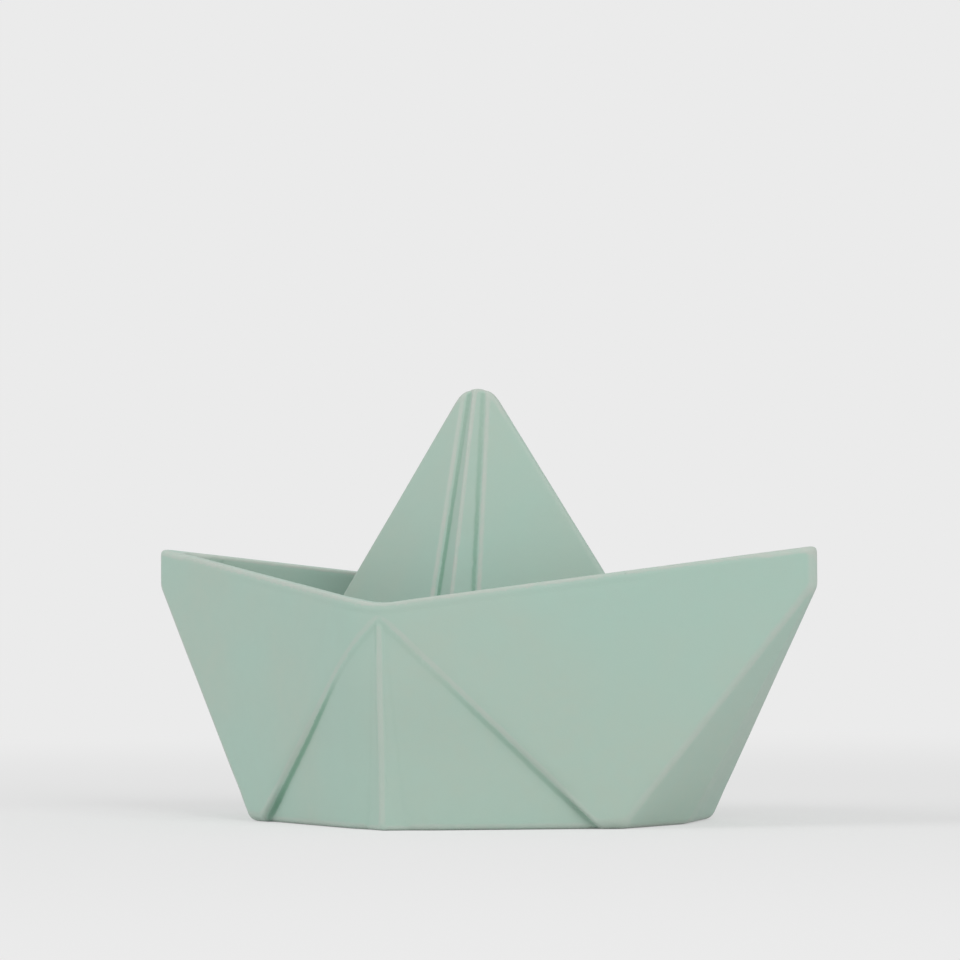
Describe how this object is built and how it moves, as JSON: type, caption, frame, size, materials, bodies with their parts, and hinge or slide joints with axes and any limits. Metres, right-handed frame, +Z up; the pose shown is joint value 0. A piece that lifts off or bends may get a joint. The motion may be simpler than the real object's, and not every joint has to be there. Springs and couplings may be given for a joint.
{
  "type": "toy origami sailboat",
  "caption": "Soft rubber bath toy in the form of a folded paper boat: an open pointed hull with stepped diagonal folds and a pleated sail standing in the middle.",
  "frame": {"origin": "middle of the flat bottom that the boat rests on", "axes": "+X towards the bow along the keel line, +Y across the hull to the far side, +Z up towards the top of the sail"},
  "size_m": [0.1352, 0.0758, 0.0788],
  "materials": {
    "mint_rubber": "matte, soft to the touch, mint green"
  },
  "bodies": {
    "root": {"boat": "mint_rubber"}
  },
  "joints": []
}
